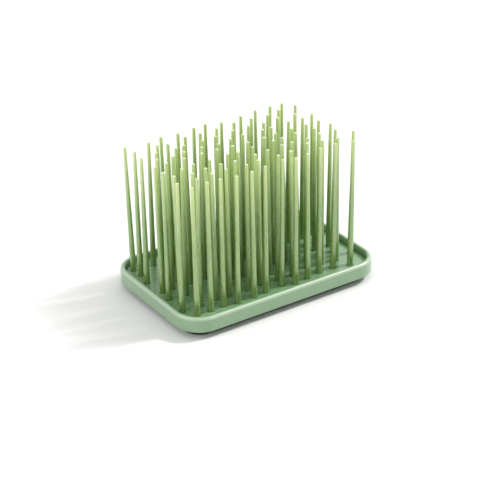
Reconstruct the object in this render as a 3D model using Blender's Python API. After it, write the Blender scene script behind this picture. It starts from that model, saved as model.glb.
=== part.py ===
"""Bottle drying rack: a drip tray on a rubber base, with a lift-out plate full of upright spikes.

The spikes are moulded in rows, each row on a strip. The strips sit under the plate, and their
spikes stand up through its holes. Water runs off the plate through the gap round its edge.

Metres, +Z up. The origin is the middle of the base's underside, where the rack stands.
The tray's long side lies along X, and the front of the rack faces -Y.
"""

import math
import random

import bmesh
import bpy

# Tray
TRAY_LENGTH = 0.200
TRAY_WIDTH = 0.134
TRAY_CORNER = 0.0238
RIM_TOP = 0.0199
WALL = 0.0045
WALL_BOTTOM = 0.0063
RIM_OUTER_ROUND = 0.0026
RIM_INNER_ROUND = 0.0016
FOOT_EDGE_ROUND = 0.0006
TRAY_FLOOR = 0.0085

# Clear space between pieces that touch
GAP = 0.0003

# Rubber base, bonded under the tray and set well in from its side, so that it stays in shade
BASE_INSET = 0.0075
BASE_EDGE = 0.0006

# Lift-out plate, on low feet that keep it above the water in the tray
PLATE_TOP = 0.0143
PLATE_BOTTOM = 0.0121
DRAIN_GAP = 0.0008
PLATE_EDGE = 0.0004
FOOT_PLACES = (-0.060, 0.0, 0.060)
FOOT_ACROSS = 0.0590
FOOT_LENGTH = 0.012
FOOT_WIDTH = 0.003
FOOT_SINK = 0.0008

# Spikes, the same height all over
SPIKE_TOP = 0.1340
SPIKE_FOOT_RADIUS = 0.0027
SPIKE_TIP_RADIUS = 0.00145
SPIKE_TIP_ROUND = 0.0005
SPIKE_SIDES = 8

# Strip that a row of spikes is moulded on
STRIP_TOP = PLATE_BOTTOM - GAP
STRIP_BOTTOM = 0.0105
STRIP_WIDTH = 0.0104
STRIP_END_STEPS = 4
SPIKE_SINK = 0.0007

# Rows from front to back: place across the tray, first and last spike along it, and how many
SPIKE_ROWS = (
    (-0.0495, -0.0830, 0.0765, 12),
    (-0.0360, -0.0860, 0.0860, 12),
    (-0.0235, -0.0830, 0.0790, 12),
    (-0.0115, -0.0860, 0.0800, 12),
    (0.0005, -0.0880, 0.0790, 12),
    (0.0130, -0.0790, 0.0840, 12),
    (0.0260, -0.0880, 0.0680, 11),
    (0.0385, -0.0830, 0.0790, 11),
    (0.0505, -0.0860, 0.0760, 11),
)

# The spikes stand irregularly: each is off its place a little, and leans a little
SCATTER_ALONG = 0.0030
SCATTER_ACROSS = 0.0024
SCATTER_SEED = 323
LEAN_SPREAD = math.radians(0.7)
LEAN_OUTWARD = math.radians(0.3)

CORNER_STEPS = 8
ROUND_STEPS = 4


def clear_scene():
    for item in list(bpy.data.objects):
        bpy.data.objects.remove(item, do_unlink=True)


def plastic(name, color, roughness):
    material = bpy.data.materials.new(name)
    material.use_nodes = True
    shader = material.node_tree.nodes["Principled BSDF"]
    shader.inputs["Base Color"].default_value = (*color, 1.0)
    shader.inputs["Roughness"].default_value = roughness
    shader.inputs["Metallic"].default_value = 0.0
    return material


def new_object(name, mesh_data, material, parent=None):
    mesh = bpy.data.meshes.new(name)
    mesh_data.to_mesh(mesh)
    mesh_data.free()
    mesh.materials.append(material)
    mesh.shade_smooth()
    mesh.set_sharp_from_angle(angle=math.radians(35))
    item = bpy.data.objects.new(name, mesh)
    item.parent = parent
    bpy.context.collection.objects.link(item)
    return item


def empty(name):
    item = bpy.data.objects.new(name, None)
    bpy.context.collection.objects.link(item)
    return item


def tray_outline(inset, height):
    """Rounded rectangle, anticlockwise from above, the given distance inside the tray's side."""
    half_x = TRAY_LENGTH / 2 - TRAY_CORNER
    half_y = TRAY_WIDTH / 2 - TRAY_CORNER
    radius = TRAY_CORNER - inset
    centres = ((half_x, half_y), (-half_x, half_y), (-half_x, -half_y), (half_x, -half_y))
    points = []
    for quarter, (x, y) in enumerate(centres):
        for step in range(CORNER_STEPS + 1):
            angle = math.pi / 2 * (quarter + step / CORNER_STEPS)
            points.append((x + radius * math.cos(angle), y + radius * math.sin(angle), height))
    return points


def quarter_round(inset, height, radius, start, end):
    """Points (inset, height) on an arc round a centre, from one angle to another in degrees."""
    points = []
    for step in range(ROUND_STEPS + 1):
        angle = math.radians(start + (end - start) * step / ROUND_STEPS)
        points.append((inset + radius * math.cos(angle), height + radius * math.sin(angle)))
    return points


def loft(sections):
    """Closed body through rings of equal length, the first and the last closed by a flat face."""
    body = bmesh.new()
    rings = []
    for section in sections:
        rings.append([body.verts.new(point) for point in section])
    for lower, upper in zip(rings, rings[1:]):
        for i, corner in enumerate(lower):
            j = (i + 1) % len(lower)
            body.faces.new((corner, lower[j], upper[j], upper[i]))
    body.faces.new(reversed(rings[0]))
    body.faces.new(rings[-1])
    bmesh.ops.recalc_face_normals(body, faces=body.faces)
    return body


def box(low, high):
    body = bmesh.new()
    bmesh.ops.create_cube(body, size=1.0)
    for vert in body.verts:
        for axis in range(3):
            vert.co[axis] = low[axis] if vert.co[axis] < 0 else high[axis]
    return body


def helper(item):
    """Keep a shape that only cuts or joins another out of the model."""
    item.hide_render = True
    item.display_type = "WIRE"


def combine(item, other, operation):
    modifier = item.modifiers.new(other.name, "BOOLEAN")
    modifier.operation = operation
    modifier.solver = "EXACT"
    modifier.object = other
    helper(other)


def make_tray(material):
    profile = quarter_round(FOOT_EDGE_ROUND, WALL_BOTTOM + FOOT_EDGE_ROUND, FOOT_EDGE_ROUND, 270, 180)
    profile += quarter_round(RIM_OUTER_ROUND, RIM_TOP - RIM_OUTER_ROUND, RIM_OUTER_ROUND, 180, 90)
    profile += quarter_round(WALL - RIM_INNER_ROUND, RIM_TOP - RIM_INNER_ROUND, RIM_INNER_ROUND, 90, 0)
    profile.append((WALL, TRAY_FLOOR))
    new_object("drip_tray", loft([tray_outline(*point) for point in profile]), material)


def make_base(material):
    profile = ((BASE_INSET + BASE_EDGE, 0.0), (BASE_INSET, BASE_EDGE), (BASE_INSET, WALL_BOTTOM - GAP))
    new_object("nonslip_base", loft([tray_outline(*point) for point in profile]), material)


def spike_rings(x, y, lean_x, lean_y, levels):
    """Level rings of a leaning spike: each level is a height and a radius."""
    rings = []
    for height, radius in levels:
        rise = height - PLATE_TOP
        ring = []
        for side in range(SPIKE_SIDES):
            angle = 2 * math.pi * (side + 0.5) / SPIKE_SIDES
            ring.append((
                x + rise * math.tan(lean_x) + radius * math.cos(angle),
                y + rise * math.tan(lean_y) + radius * math.sin(angle),
                height,
            ))
        rings.append(ring)
    return rings


def spike_plan():
    """Place and lean of every spike, row by row."""
    chance = random.Random(SCATTER_SEED)
    rows = []
    for across, first, last, count in SPIKE_ROWS:
        row = []
        for i in range(count):
            x = first + (last - first) * i / (count - 1) + chance.uniform(-1, 1) * SCATTER_ALONG
            y = across + chance.uniform(-1, 1) * SCATTER_ACROSS
            lean_x = LEAN_OUTWARD * x / (TRAY_LENGTH / 2) + chance.uniform(-1, 1) * LEAN_SPREAD
            lean_y = chance.uniform(-1, 1) * LEAN_SPREAD
            row.append((x, y, lean_x, lean_y))
        rows.append(row)
    return rows


def add_body(group, body):
    """Put a separate body into the group's mesh."""
    mesh = bpy.data.meshes.new("piece")
    body.to_mesh(mesh)
    body.free()
    group.from_mesh(mesh)
    bpy.data.meshes.remove(mesh)


def make_plate(rows, material, parent):
    side = WALL + DRAIN_GAP
    profile = ((side, PLATE_BOTTOM), (side, PLATE_TOP - PLATE_EDGE), (side + PLATE_EDGE, PLATE_TOP))
    plate = new_object("spike_plate", loft([tray_outline(*point) for point in profile]), material, parent)
    feet = bmesh.new()
    for x in FOOT_PLACES:
        for y in (-FOOT_ACROSS, FOOT_ACROSS):
            low = (x - FOOT_LENGTH / 2, y - FOOT_WIDTH / 2, TRAY_FLOOR + GAP)
            high = (x + FOOT_LENGTH / 2, y + FOOT_WIDTH / 2, PLATE_BOTTOM + FOOT_SINK)
            add_body(feet, box(low, high))
    combine(plate, new_object("plate_feet", feet, material, parent), "UNION")
    hole_radius = SPIKE_FOOT_RADIUS + GAP / math.cos(math.pi / SPIKE_SIDES)
    levels = ((PLATE_BOTTOM - GAP, hole_radius), (PLATE_TOP + GAP, hole_radius))
    holes = bmesh.new()
    for row in rows:
        for x, y, _, _ in row:
            add_body(holes, loft(spike_rings(x, y, 0.0, 0.0, levels)))
    combine(plate, new_object("spike_holes", holes, material, parent), "DIFFERENCE")


def strip_outline(first, last, across, height):
    """A straight strip with round ends, anticlockwise from above."""
    points = []
    for end, x in enumerate((last, first)):
        for step in range(STRIP_END_STEPS + 1):
            angle = math.pi * (end + step / STRIP_END_STEPS - 0.5)
            points.append((
                x + STRIP_WIDTH / 2 * math.cos(angle),
                across + STRIP_WIDTH / 2 * math.sin(angle),
                height,
            ))
    return points


def make_combs(rows, material, parent):
    """Each row of spikes with its strip, one body."""
    levels = (
        (STRIP_TOP - SPIKE_SINK, SPIKE_FOOT_RADIUS),
        (PLATE_TOP, SPIKE_FOOT_RADIUS),
        (SPIKE_TOP - SPIKE_TIP_ROUND, SPIKE_TIP_RADIUS),
        (SPIKE_TOP, SPIKE_TIP_RADIUS - SPIKE_TIP_ROUND),
    )
    for number, (plan, row) in enumerate(zip(SPIKE_ROWS, rows), start=1):
        across, first, last, _ = plan
        strip = [strip_outline(first, last, across, height) for height in (STRIP_BOTTOM, STRIP_TOP)]
        comb = new_object(f"spike_comb_{number}", loft(strip), material, parent)
        spikes = bmesh.new()
        for place in row:
            add_body(spikes, loft(spike_rings(*place, levels)))
        combine(comb, new_object(f"spikes_{number}", spikes, material, parent), "UNION")


def main():
    clear_scene()
    tray_green = plastic("tray_green", (0.28, 0.40, 0.27), 0.42)
    spike_green = plastic("spike_green", (0.33, 0.43, 0.20), 0.45)
    charcoal = plastic("charcoal_rubber", (0.06, 0.06, 0.065), 0.75)
    insert = empty("spike_insert")
    rows = spike_plan()
    make_tray(tray_green)
    make_base(charcoal)
    make_plate(rows, tray_green, insert)
    make_combs(rows, spike_green, insert)


main()
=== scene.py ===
"""Looks of the bottle drying rack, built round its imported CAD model.

The tray, its rubber base, the plate and the nine rows of spikes are each rebuilt as a finer mesh on
the sizes and places of their CAD solids, and each has a procedural material.
"""

import math

import bmesh
import bpy
from mathutils import Matrix, Vector


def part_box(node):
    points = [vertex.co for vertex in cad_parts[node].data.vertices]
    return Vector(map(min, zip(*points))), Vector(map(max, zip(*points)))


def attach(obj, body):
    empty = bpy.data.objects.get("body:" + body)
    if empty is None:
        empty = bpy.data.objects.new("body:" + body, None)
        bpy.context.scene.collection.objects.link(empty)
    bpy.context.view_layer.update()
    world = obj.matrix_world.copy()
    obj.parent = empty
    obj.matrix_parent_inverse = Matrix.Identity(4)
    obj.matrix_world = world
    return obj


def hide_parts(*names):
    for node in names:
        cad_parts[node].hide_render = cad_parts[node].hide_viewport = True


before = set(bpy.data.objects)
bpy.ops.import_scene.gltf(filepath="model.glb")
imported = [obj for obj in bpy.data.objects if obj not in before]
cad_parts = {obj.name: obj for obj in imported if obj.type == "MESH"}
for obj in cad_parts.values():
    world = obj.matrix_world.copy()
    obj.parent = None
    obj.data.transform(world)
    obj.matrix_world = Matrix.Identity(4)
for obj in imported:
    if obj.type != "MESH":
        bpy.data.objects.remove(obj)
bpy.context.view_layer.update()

# Corners of the CAD solids' boxes, the height of the spikes' tips, and how many rows there are
TRAY_LOW, TRAY_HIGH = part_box("drip_tray")
BASE_LOW, BASE_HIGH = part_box("nonslip_base")
PLATE_LOW, PLATE_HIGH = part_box("spike_plate")
SPIKE_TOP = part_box("spike_comb_1")[1].z
ROWS = 9

# Clear space between pieces that touch
GAP = 0.0003

# Tray: its floor is just under the plate's feet
TRAY_CORNER = 0.0238
TRAY_WALL = 0.0045
TRAY_FLOOR = PLATE_LOW.z - GAP
RIM_OUTER_ROUND = 0.0026
RIM_INNER_ROUND = 0.0016
LOW_EDGE_ROUND = 0.0006
FLOOR_FILLET = 0.0008

# Plate, its feet and its holes
PLATE_THICK = 0.0022
PLATE_EDGE = 0.0004
HOLE_RADIUS = 0.00298
HOLE_CHAMFER = 0.00018
FOOT_PLACES = (-0.060, 0.0, 0.060)
FOOT_ACROSS = 0.0590
FOOT_SIZE = (0.012, 0.003)
FOOT_SINK = 0.0008

# Spikes and the strips that they are moulded on, just under the plate
SPIKE_FOOT_RADIUS = 0.00268
SPIKE_TIP_RADIUS = 0.00144
SPIKE_TIP_ROUND = 0.00055
SPIKE_SIDES = 20
SHAFT_STEPS = 5
TIP_STEPS = 4
STRIP_TOP = PLATE_HIGH.z - PLATE_THICK - GAP
STRIP_WIDTH = 0.0104
STRIP_EDGE = 0.0003
STRIP_END_STEPS = 10
SPIKE_SINK = 0.0007

BASE_EDGE = 0.0007

# Fineness of the meshes
CORNER_STEPS = 28
ROUND_STEPS = 9
EDGE_STEPS = 3
TOP_EDGE_STEPS = 5
SHARP_ANGLE = math.radians(40)

# Reading the CAD spikes: how thick a slice of points is, and how wide one spike is at most
SLICE = 0.0002
SAME_SPIKE = 0.006

# The painted highlight on the tray's rim reaches this far in from the side and down from the top, then
# fades
RIM_HIGHLIGHT_INSET = 0.0016
RIM_HIGHLIGHT_DROP = 0.0018
RIM_HIGHLIGHT_FADE = 0.0012

# Where the spikes' colours change: heights above the plate, and depths below the tip. The painted
# shade at the foot reaches up to the first height, the paler part towards the tip, partly painted
# light, starts at the second, and the painted highlight on the tip's end lies within the depths.
PAINTED_SHADE_UP_TO = 0.035
PALE_FROM = 0.060
CAP_FROM = 0.0007
CAP_FULL = 0.0001

# Colours of the plastics and the rubber
TRAY_DEEP = (0.196, 0.338, 0.182)
TRAY_LIGHT = (0.219, 0.364, 0.202)
TRAY_SPECK = (0.208, 0.352, 0.192)
# Painted highlight along the outer round of the tray's rim
TRAY_RIM_PAINTED_HIGHLIGHT = (0.440, 0.540, 0.400)
PLATE_DEEP = (0.166, 0.318, 0.150)
PLATE_LIGHT = (0.188, 0.345, 0.170)
PLATE_STREAK = (0.198, 0.368, 0.186)
# Painted shade at the spikes' feet, where light among the spikes is blocked
SPIKE_FOOT_PAINTED_SHADE = (0.185, 0.288, 0.062)
SPIKE_OLIVE = (0.230, 0.362, 0.084)
# Paler towards the tip: partly a more yellow colour, partly painted light on the upper parts, which
# catch more light and let it through
SPIKE_YELLOW_PAINTED_LIGHT = (0.570, 0.670, 0.265)
SPIKE_COOL = (0.200, 0.390, 0.160)
SPIKE_STREAK = (0.420, 0.520, 0.300)
# Painted highlight on the upward-facing end of each tip
SPIKE_CAP_PAINTED_HIGHLIGHT = (0.560, 0.680, 0.500)
RUBBER_BLACK = (0.018, 0.018, 0.020)
# Painted light: the rubber's lower edge lit by the floor's bounce
RUBBER_PAINTED_BOUNCE = (0.040, 0.040, 0.043)
RUBBER_GRAIN = (0.030, 0.030, 0.032)


# Meshes

def finish_mesh(item, material):
    item.data.materials.clear()
    item.data.materials.append(material)
    item.data.shade_smooth()
    item.data.set_sharp_from_angle(angle=SHARP_ANGLE)
    return item


def new_piece(name, body, material):
    mesh = bpy.data.meshes.new(name)
    bmesh.ops.recalc_face_normals(body, faces=body.faces)
    body.to_mesh(mesh)
    body.free()
    item = bpy.data.objects.new(name, mesh)
    bpy.context.scene.collection.objects.link(item)
    return finish_mesh(item, material)


def loft(sections, body=None):
    """Closed body through rings of equal length, the first and the last closed by a flat face."""
    body = body or bmesh.new()
    rings = [[body.verts.new(point) for point in section] for section in sections]
    for lower, upper in zip(rings, rings[1:]):
        for i, corner in enumerate(lower):
            j = (i + 1) % len(lower)
            body.faces.new((corner, lower[j], upper[j], upper[i]))
    body.faces.new(reversed(rings[0]))
    body.faces.new(rings[-1])
    return body


def tray_outline(inset, height):
    """The tray's rounded rectangle, anticlockwise from above, moved in from its side."""
    half_x = TRAY_HIGH.x - TRAY_CORNER
    half_y = TRAY_HIGH.y - TRAY_CORNER
    radius = TRAY_CORNER - inset
    centres = ((half_x, half_y), (-half_x, half_y), (-half_x, -half_y), (half_x, -half_y))
    points = []
    for quarter, (x, y) in enumerate(centres):
        for step in range(CORNER_STEPS + 1):
            angle = math.pi / 2 * (quarter + step / CORNER_STEPS)
            points.append((x + radius * math.cos(angle), y + radius * math.sin(angle), height))
    return points


def arc(inset, height, radius, start, end, steps=ROUND_STEPS):
    """Profile points (inset, height) on an arc, from one angle to another in degrees."""
    points = []
    for step in range(steps + 1):
        angle = math.radians(start + (end - start) * step / steps)
        points.append((inset + radius * math.cos(angle), height + radius * math.sin(angle)))
    return points


def combine(item, other, operation):
    """Join a mesh to the item or cut it out, for good, and remove the other object."""
    modifier = item.modifiers.new("combine", "BOOLEAN")
    modifier.operation = operation
    modifier.solver = "EXACT"
    modifier.object = other
    graph = bpy.context.evaluated_depsgraph_get()
    made = bpy.data.meshes.new_from_object(item.evaluated_get(graph))
    item.modifiers.remove(modifier)
    item.data = made
    bpy.data.objects.remove(other)


# Materials

class Nodes:
    """Short ways to add and link the nodes of one material."""

    # Sockets of a mix node that are for colours
    COLOR_A = 6
    COLOR_B = 7
    COLOR_RESULT = 2

    def __init__(self, name):
        self.material = bpy.data.materials.new(name)
        self.material.use_nodes = True
        self.tree = self.material.node_tree
        self.shader = self.tree.nodes["Principled BSDF"]
        self.place = self.tree.nodes.new("ShaderNodeTexCoord").outputs["Object"]

    def link(self, source, target):
        self.tree.links.new(source, target)

    def scaled_place(self, scale):
        mapping = self.tree.nodes.new("ShaderNodeMapping")
        mapping.inputs["Scale"].default_value = scale
        self.link(self.place, mapping.inputs["Vector"])
        return mapping.outputs["Vector"]

    def noise(self, scale, detail=3.0, roughness=0.55):
        """Noise whose features are about one unit of the scaled place in size."""
        node = self.tree.nodes.new("ShaderNodeTexNoise")
        node.inputs["Scale"].default_value = 1.0
        node.inputs["Detail"].default_value = detail
        node.inputs["Roughness"].default_value = roughness
        self.link(self.scaled_place(scale), node.inputs["Vector"])
        return node.outputs["Fac"]

    def spread(self, value, low, high, to_low=0.0, to_high=1.0):
        """The value's range from low to high, stretched to another range and clamped to it."""
        node = self.tree.nodes.new("ShaderNodeMapRange")
        node.inputs["From Min"].default_value = low
        node.inputs["From Max"].default_value = high
        node.inputs["To Min"].default_value = to_low
        node.inputs["To Max"].default_value = to_high
        self.link(value, node.inputs["Value"])
        return node.outputs["Result"]

    def between(self, value, low, high):
        """A value from 0 to 1, turned into one from low to high."""
        return self.spread(value, 0.0, 1.0, low, high)

    def height(self):
        node = self.tree.nodes.new("ShaderNodeSeparateXYZ")
        self.link(self.place, node.inputs["Vector"])
        return node.outputs["Z"]

    def vector_step(self, operation, value, other=(0.0, 0.0, 0.0)):
        node = self.tree.nodes.new("ShaderNodeVectorMath")
        node.operation = operation
        self.link(value, node.inputs[0])
        node.inputs[1].default_value = other
        return node.outputs["Value" if operation == "LENGTH" else "Vector"]

    def multiply(self, first, second):
        node = self.tree.nodes.new("ShaderNodeMath")
        node.operation = "MULTIPLY"
        self.link(first, node.inputs[0])
        self.link(second, node.inputs[1])
        return node.outputs["Value"]

    def painted_rim_highlight(self):
        """Mask of the painted highlight: 1 on the outer round of the tray's rim, 0 inside and below
        it.
        """
        core = (TRAY_HIGH.x - TRAY_CORNER, TRAY_HIGH.y - TRAY_CORNER, 0.0)
        beyond = self.vector_step("SUBTRACT", self.vector_step("ABSOLUTE", self.place), core)
        beyond = self.vector_step("MAXIMUM", beyond)
        reach = self.vector_step("LENGTH", self.vector_step("MULTIPLY", beyond, (1.0, 1.0, 0.0)))
        side = TRAY_CORNER - RIM_HIGHLIGHT_INSET
        top = TRAY_HIGH.z - RIM_HIGHLIGHT_DROP
        outside = self.spread(reach, side - RIM_HIGHLIGHT_FADE, side)
        high = self.spread(self.height(), top - RIM_HIGHLIGHT_FADE, top)
        return self.multiply(outside, high)

    def mix(self, factor, first, second):
        """Colour mix; first and second are colours or sockets."""
        node = self.tree.nodes.new("ShaderNodeMix")
        node.data_type = "RGBA"
        self.link(factor, node.inputs["Factor"])
        for value, index in ((first, self.COLOR_A), (second, self.COLOR_B)):
            if isinstance(value, tuple):
                node.inputs[index].default_value = (*value, 1.0)
            else:
                self.link(value, node.inputs[index])
        return node.outputs[self.COLOR_RESULT]

    def bump(self, height, strength, distance, under=None):
        node = self.tree.nodes.new("ShaderNodeBump")
        node.inputs["Strength"].default_value = strength
        node.inputs["Distance"].default_value = distance
        self.link(height, node.inputs["Height"])
        if under:
            self.link(under, node.inputs["Normal"])
        return node.outputs["Normal"]


def tray_plastic():
    """Sage green satin plastic with faint clouds, a fine texture and a painted highlight along the
    outer round of its rim.
    """
    n = Nodes("tray_green")
    clouds = n.spread(n.noise((34, 34, 34), 4), 0.35, 0.65)
    specks = n.spread(n.noise((1300, 1300, 1300), 2), 0.4, 0.6)
    color = n.mix(clouds, TRAY_DEEP, TRAY_LIGHT)
    color = n.mix(specks, color, TRAY_SPECK)
    # Painted highlight: the rim's outer round made paler
    color = n.mix(n.between(n.painted_rim_highlight(), 0.0, 0.70), color, TRAY_RIM_PAINTED_HIGHLIGHT)
    n.link(color, n.shader.inputs["Base Color"])
    n.link(n.spread(n.noise((260, 260, 260), 4), 0.3, 0.7, 0.30, 0.40), n.shader.inputs["Roughness"])
    n.shader.inputs["Coat Weight"].default_value = 1.0
    n.shader.inputs["Coat Roughness"].default_value = 0.32
    ripple = n.bump(n.noise((90, 90, 90), 2), 0.25, 0.00004)
    n.link(n.bump(n.noise((3800, 3800, 3800), 2), 0.22, 0.00003, ripple), n.shader.inputs["Normal"])
    return n.material


def plate_plastic():
    """The plate's green, deeper and glossier than the tray's, with faint streaks along it."""
    n = Nodes("plate_green")
    clouds = n.spread(n.noise((40, 60, 40), 4), 0.35, 0.65)
    streaks = n.spread(n.noise((120, 700, 300), 3), 0.4, 0.6)
    color = n.mix(clouds, PLATE_DEEP, PLATE_LIGHT)
    color = n.mix(n.between(streaks, 0.0, 0.35), color, PLATE_STREAK)
    n.link(color, n.shader.inputs["Base Color"])
    n.link(n.between(streaks, 0.18, 0.28), n.shader.inputs["Roughness"])
    n.shader.inputs["IOR"].default_value = 1.7
    n.shader.inputs["Specular IOR Level"].default_value = 1.0
    n.link(n.bump(n.noise((2600, 2600, 2600), 2), 0.12, 0.00003), n.shader.inputs["Normal"])
    return n.material


def spike_plastic():
    """Satin olive green plastic, with painted shade deeper at the foot, paler and more yellow towards
    the tip, partly its own colour and partly painted light, and a painted highlight on its end.

    Some spikes are a little cooler in colour than others, and all have very faint streaks.
    """
    n = Nodes("spike_green")
    height = n.height()
    # Painted shade: deeper green at the foot of each spike
    foot = n.spread(height, PLATE_HIGH.z, PLATE_HIGH.z + PAINTED_SHADE_UP_TO)
    # Paler and more yellow towards the tip, partly its own colour and partly painted light
    rise = n.spread(height, PLATE_HIGH.z + PALE_FROM, SPIKE_TOP)
    tint = n.spread(n.noise((75, 75, 3), 2), 0.38, 0.62)
    streaks = n.spread(n.noise((1500, 1500, 45), 3), 0.35, 0.65)
    # Painted highlight on the tip's end
    painted_cap_highlight = n.spread(height, SPIKE_TOP - CAP_FROM, SPIKE_TOP - CAP_FULL, 0.0, 0.7)
    color = n.mix(foot, SPIKE_FOOT_PAINTED_SHADE, SPIKE_OLIVE)
    color = n.mix(rise, color, SPIKE_YELLOW_PAINTED_LIGHT)
    color = n.mix(n.between(tint, 0.0, 0.20), color, SPIKE_COOL)
    color = n.mix(n.between(streaks, 0.0, 0.04), color, SPIKE_STREAK)
    color = n.mix(painted_cap_highlight, color, SPIKE_CAP_PAINTED_HIGHLIGHT)
    n.link(color, n.shader.inputs["Base Color"])
    n.link(n.between(streaks, 0.25, 0.28), n.shader.inputs["Roughness"])
    n.shader.inputs["IOR"].default_value = 1.8
    n.shader.inputs["Specular IOR Level"].default_value = 1.0
    n.shader.inputs["Specular Tint"].default_value = (0.93, 1.0, 0.92, 1.0)
    n.shader.inputs["Subsurface Weight"].default_value = 0.6
    n.shader.inputs["Subsurface Radius"].default_value = (1.0, 1.0, 0.4)
    n.shader.inputs["Subsurface Scale"].default_value = 0.0015
    n.link(n.bump(n.noise((1400, 1400, 30), 2), 0.02, 0.00002), n.shader.inputs["Normal"])
    return n.material


def base_rubber():
    """Charcoal rubber with a fine grain, with painted light making it paler towards its lower edge,
    where the floor's bounce falls, and darker at the top, in the shade under the tray.
    """
    n = Nodes("base_rubber")
    grain = n.noise((2400, 2400, 2400), 3)
    # Painted light and shade: darker at the top under the tray's overhang, paler at the bottom where
    # the floor's bounce falls
    painted_bounce = n.spread(n.height(), BASE_HIGH.z, BASE_LOW.z)
    color = n.mix(painted_bounce, RUBBER_BLACK, RUBBER_PAINTED_BOUNCE)
    color = n.mix(n.spread(grain, 0.4, 0.6, 0.0, 0.3), color, RUBBER_GRAIN)
    n.link(color, n.shader.inputs["Base Color"])
    n.link(n.spread(grain, 0.3, 0.7, 0.70, 0.88), n.shader.inputs["Roughness"])
    n.shader.inputs["Specular IOR Level"].default_value = 0.2
    n.link(n.bump(grain, 0.5, 0.00008), n.shader.inputs["Normal"])
    return n.material


# Pieces

def make_tray(material):
    low, high = TRAY_LOW.z, TRAY_HIGH.z
    profile = arc(LOW_EDGE_ROUND, low + LOW_EDGE_ROUND, LOW_EDGE_ROUND, 270, 180)
    profile += arc(RIM_OUTER_ROUND, high - RIM_OUTER_ROUND, RIM_OUTER_ROUND, 180, 90)
    profile += arc(TRAY_WALL - RIM_INNER_ROUND, high - RIM_INNER_ROUND, RIM_INNER_ROUND, 90, 0)
    profile += arc(TRAY_WALL + FLOOR_FILLET, TRAY_FLOOR + FLOOR_FILLET, FLOOR_FILLET, 180, 270)
    tray = new_piece("tray_shell", loft([tray_outline(*point) for point in profile]), material)
    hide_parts("drip_tray")
    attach(tray, "tray")


def make_base(material):
    side = TRAY_HIGH.x - BASE_HIGH.x
    profile = [*arc(side + BASE_EDGE, BASE_EDGE, BASE_EDGE, 270, 180), (side, BASE_HIGH.z)]
    base = new_piece("rubber_base", loft([tray_outline(*point) for point in profile]), material)
    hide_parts("nonslip_base")
    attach(base, "tray")


def centres(points):
    """Middles of groups of points, each group smaller than a spike's spacing, along X."""
    groups = []
    for point in sorted(points, key=lambda p: p.x):
        if groups and (point - groups[-1][0]).length < SAME_SPIKE:
            groups[-1].append(point)
        else:
            groups.append([point])
    return [sum(group, Vector()) / len(group) for group in groups]


def read_spikes(node):
    """Foot on the plate and tip of every spike of a CAD row, in order along X."""
    points = [vert.co.copy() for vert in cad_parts[node].data.vertices]
    feet = centres([p for p in points if abs(p.z - PLATE_HIGH.z) < SLICE])
    tips = centres([p for p in points if SPIKE_TOP - p.z < SLICE])
    assert len(feet) == len(tips)
    return list(zip(feet, tips))


def ring(centre, radius):
    """A level circle of points round a centre."""
    points = []
    for side in range(SPIKE_SIDES):
        angle = 2 * math.pi * side / SPIKE_SIDES
        x = centre.x + radius * math.cos(angle)
        y = centre.y + radius * math.sin(angle)
        points.append((x, y, centre.z))
    return points


def spike_sections(foot, tip):
    """Rings of one tapering, leaning spike, from inside its strip to its rounded tip."""
    axis = (tip - foot) / (tip.z - foot.z)
    shaft = SPIKE_TOP - SPIKE_TIP_ROUND - foot.z
    taper = (SPIKE_TIP_RADIUS - SPIKE_FOOT_RADIUS) / shaft
    levels = [(STRIP_TOP - SPIKE_SINK, SPIKE_FOOT_RADIUS), (foot.z, SPIKE_FOOT_RADIUS)]
    for step in range(1, SHAFT_STEPS + 1):
        rise = shaft * step / SHAFT_STEPS
        levels.append((foot.z + rise, SPIKE_FOOT_RADIUS + taper * rise))
    for step in range(1, TIP_STEPS + 1):
        angle = math.pi / 2 * step / TIP_STEPS
        radius = SPIKE_TIP_RADIUS - SPIKE_TIP_ROUND * (1 - math.cos(angle))
        levels.append((SPIKE_TOP - SPIKE_TIP_ROUND * (1 - math.sin(angle)), radius))
    return [ring(foot + axis * (height - foot.z), radius) for height, radius in levels]


def strip_outline(first, last, across, inset, height):
    """A straight strip with round ends, anticlockwise from above, moved in from its side."""
    half = STRIP_WIDTH / 2 - inset
    points = []
    for end, x in enumerate((last, first)):
        for step in range(STRIP_END_STEPS + 1):
            angle = math.pi * (end + step / STRIP_END_STEPS - 0.5)
            points.append((x + half * math.cos(angle), across + half * math.sin(angle), height))
    return points


def make_comb(node, spikes, material):
    """A row of spikes on its strip."""
    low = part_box(node)[0]
    cad = [vert.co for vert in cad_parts[node].data.vertices if vert.co.z - low.z < SLICE]
    first = min(p.x for p in cad) + STRIP_WIDTH / 2
    last = max(p.x for p in cad) - STRIP_WIDTH / 2
    across = (min(p.y for p in cad) + max(p.y for p in cad)) / 2
    edge = arc(STRIP_EDGE, low.z + STRIP_EDGE, STRIP_EDGE, 270, 180, EDGE_STEPS)
    profile = [*edge, (0.0, STRIP_TOP)]
    sections = [strip_outline(first, last, across, *point) for point in profile]
    comb = new_piece(node.replace("comb", "row"), loft(sections), material)
    body = bmesh.new()
    for foot, tip in spikes:
        loft(spike_sections(foot, tip), body)
    combine(comb, new_piece("row_spikes", body, material), "UNION")
    finish_mesh(comb, material)
    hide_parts(node)
    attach(comb, "spike_insert")


def plate_feet():
    """The six low feet that keep the plate above the tray's floor."""
    body = bmesh.new()
    corners = ((-1, -1), (1, -1), (1, 1), (-1, 1))
    heights = (PLATE_LOW.z, PLATE_HIGH.z - PLATE_THICK + FOOT_SINK)
    for x in FOOT_PLACES:
        for y in (-FOOT_ACROSS, FOOT_ACROSS):
            outline = [(x + i * FOOT_SIZE[0] / 2, y + j * FOOT_SIZE[1] / 2) for i, j in corners]
            loft([[(*point, height) for point in outline] for height in heights], body)
    return body


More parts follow.
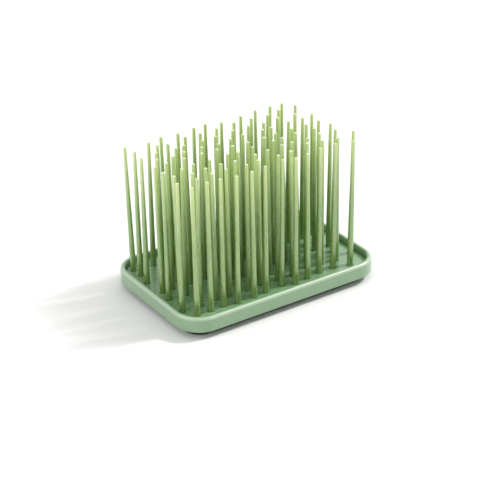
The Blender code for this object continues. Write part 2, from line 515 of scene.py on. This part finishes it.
def plate_holes(rows):
    """What the spikes' holes take out of the plate, each with a chamfer at the top."""
    body = bmesh.new()
    levels = (
        (PLATE_HIGH.z - PLATE_THICK - HOLE_CHAMFER, HOLE_RADIUS),
        (PLATE_HIGH.z - HOLE_CHAMFER, HOLE_RADIUS),
        (PLATE_HIGH.z + HOLE_CHAMFER, HOLE_RADIUS + 2 * HOLE_CHAMFER),
    )
    for spikes in rows.values():
        for foot, _ in spikes:
            rings = [ring(Vector((foot.x, foot.y, height)), radius) for height, radius in levels]
            loft(rings, body)
    return body


def make_plate(rows, material):
    side = TRAY_HIGH.x - PLATE_HIGH.x
    top = PLATE_HIGH.z
    low_round = PLATE_EDGE / 2
    profile = arc(side + low_round, top - PLATE_THICK + low_round, low_round, 270, 180, EDGE_STEPS)
    profile += arc(side + PLATE_EDGE, top - PLATE_EDGE, PLATE_EDGE, 180, 90, TOP_EDGE_STEPS)
    plate = new_piece("drain_plate", loft([tray_outline(*point) for point in profile]), material)
    combine(plate, new_piece("plate_feet", plate_feet(), material), "UNION")
    combine(plate, new_piece("plate_holes", plate_holes(rows), material), "DIFFERENCE")
    finish_mesh(plate, material)
    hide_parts("spike_plate")
    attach(plate, "spike_insert")


# Studio

WHITE = (1.0, 1.0, 1.0)
WARM_WHITE = (1.0, 0.99, 0.97)

# Floor, just under the rack's base
FLOOR_SIZE = 9.0
FLOOR_DROP = 0.0001
FLOOR_COLOR = (0.80, 0.80, 0.80, 1.0)

# Camera: angles in degrees, distance and reach in metres, lens and sensor in millimetres
CAMERA_YAW = 32.963
CAMERA_PITCH = 27.750
CAMERA_ROLL = -1.241
CAMERA_DISTANCE = 1.5513
CAMERA_TARGET = (0.0388, 0.0692, -0.0018)
CAMERA_LENS = 124.76
CAMERA_SENSOR = 36.0
CAMERA_REACH = 50.0

# Sky: where the backdrop is, how far round it reaches, and the bright ring above the horizon
BACKDROP_SIDE = (0.54, 0.84, 0.0)
BACKDROP_REACH = (-0.5, 0.7)
BACKDROP_STRENGTH = 0.95
ROOM_STRENGTH = 0.50
HORIZON_REACH = (0.06, 0.24)
HORIZON_STRENGTH = 1.0

# Main light
KEY_TOWARDS = (0.675, -0.170, 0.718)
KEY_ENERGY = 2.2
KEY_ANGLE = math.radians(8)
KEY_COLOR = (1.0, 0.99, 0.975)

# Soft lights: side they are on, distance, length, width, irradiance and colour
SOFTBOXES = {
    "bar": ((0.50, -0.02, 0.866), 2.0, 2.3, 0.85, 0.5, WARM_WHITE),
    "overhead": ((-0.35, -0.1, 0.93), 1.3, 1.1, 0.8, 0.40, WARM_WHITE),
    "fill": ((-0.87, 0.05, 0.49), 1.5, 1.5, 0.5, 0.95, WHITE),
}


def make_floor():
    n = Nodes("floor_white")
    n.shader.inputs["Base Color"].default_value = FLOOR_COLOR
    n.shader.inputs["Roughness"].default_value = 0.9
    n.shader.inputs["Specular IOR Level"].default_value = 0.0
    body = bmesh.new()
    bmesh.ops.create_grid(body, x_segments=2, y_segments=2, size=FLOOR_SIZE / 2)
    floor = new_piece("floor", body, n.material)
    floor.location.z = -FLOOR_DROP


def make_camera():
    """Camera in front of the rack and to its left, looking down on it."""
    data = bpy.data.cameras.new("camera")
    data.lens = CAMERA_LENS
    data.sensor_width = CAMERA_SENSOR
    data.clip_end = CAMERA_REACH
    camera = bpy.data.objects.new("camera", data)
    bpy.context.scene.collection.objects.link(camera)
    turn = Matrix.Rotation(math.radians(-CAMERA_YAW), 4, "Z")
    turn @= Matrix.Rotation(math.radians(90 - CAMERA_PITCH), 4, "X")
    turn @= Matrix.Rotation(math.radians(CAMERA_ROLL), 4, "Z")
    back = turn @ Vector((0, 0, CAMERA_DISTANCE))
    camera.matrix_world = Matrix.Translation(Vector(CAMERA_TARGET) + back) @ turn
    bpy.context.scene.camera = camera


def make_sky():
    """White studio: a bright backdrop behind the rack, a bright horizon and a dimmer room."""
    world = bpy.data.worlds.new("studio")
    bpy.context.scene.world = world
    world.use_nodes = True
    tree = world.node_tree

    def spread(value, reach, to_low, to_high):
        node = tree.nodes.new("ShaderNodeMapRange")
        node.interpolation_type = "SMOOTHSTEP"
        node.inputs["From Min"].default_value = reach[0]
        node.inputs["From Max"].default_value = reach[1]
        node.inputs["To Min"].default_value = to_low
        node.inputs["To Max"].default_value = to_high
        tree.links.new(value, node.inputs["Value"])
        return node.outputs["Result"]

    place = tree.nodes.new("ShaderNodeTexCoord").outputs["Generated"]
    split = tree.nodes.new("ShaderNodeSeparateXYZ")
    tree.links.new(place, split.inputs["Vector"])
    along = tree.nodes.new("ShaderNodeVectorMath")
    along.operation = "DOT_PRODUCT"
    along.inputs[1].default_value = BACKDROP_SIDE
    tree.links.new(place, along.inputs[0])
    backdrop = spread(along.outputs["Value"], BACKDROP_REACH, ROOM_STRENGTH, BACKDROP_STRENGTH)
    horizon = spread(split.outputs["Z"], HORIZON_REACH, HORIZON_STRENGTH, 0.0)
    brightest = tree.nodes.new("ShaderNodeMath")
    brightest.operation = "MAXIMUM"
    tree.links.new(backdrop, brightest.inputs[0])
    tree.links.new(horizon, brightest.inputs[1])
    background = tree.nodes["Background"]
    background.inputs["Color"].default_value = (*WHITE, 1.0)
    tree.links.new(brightest.outputs["Value"], background.inputs["Strength"])


def make_key():
    """The main light, from the right and a little from the front."""
    data = bpy.data.lights.new("key", "SUN")
    data.energy = KEY_ENERGY
    data.angle = KEY_ANGLE
    data.color = KEY_COLOR
    key = bpy.data.objects.new("key", data)
    key.rotation_mode = "QUATERNION"
    key.rotation_quaternion = Vector(KEY_TOWARDS).to_track_quat("Z", "Y")
    bpy.context.scene.collection.objects.link(key)


def make_softbox(name, towards, distance, length, width, irradiance, color):
    """A rectangular soft light aimed at the rack, its length level, of the given irradiance there."""
    data = bpy.data.lights.new(name, "AREA")
    data.shape = "RECTANGLE"
    data.size = length
    data.size_y = width
    data.energy = irradiance * math.pi * distance**2
    data.color = color
    box = bpy.data.objects.new(name, data)
    direction = Vector(towards).normalized()
    box.location = direction * distance
    box.rotation_mode = "QUATERNION"
    box.rotation_quaternion = direction.to_track_quat("Z", "Y")
    box.visible_camera = False
    bpy.context.scene.collection.objects.link(box)


def main():
    bpy.context.scene.view_settings.view_transform = "Standard"
    make_floor()
    make_camera()
    make_sky()
    make_key()
    for name, plan in SOFTBOXES.items():
        make_softbox(name, *plan)
    green = tray_plastic()
    olive = spike_plastic()
    names = [f"spike_comb_{number}" for number in range(1, ROWS + 1)]
    rows = {name: read_spikes(name) for name in names}
    make_tray(green)
    make_base(base_rubber())
    make_plate(rows, plate_plastic())
    for node, spikes in rows.items():
        make_comb(node, spikes, olive)


main()
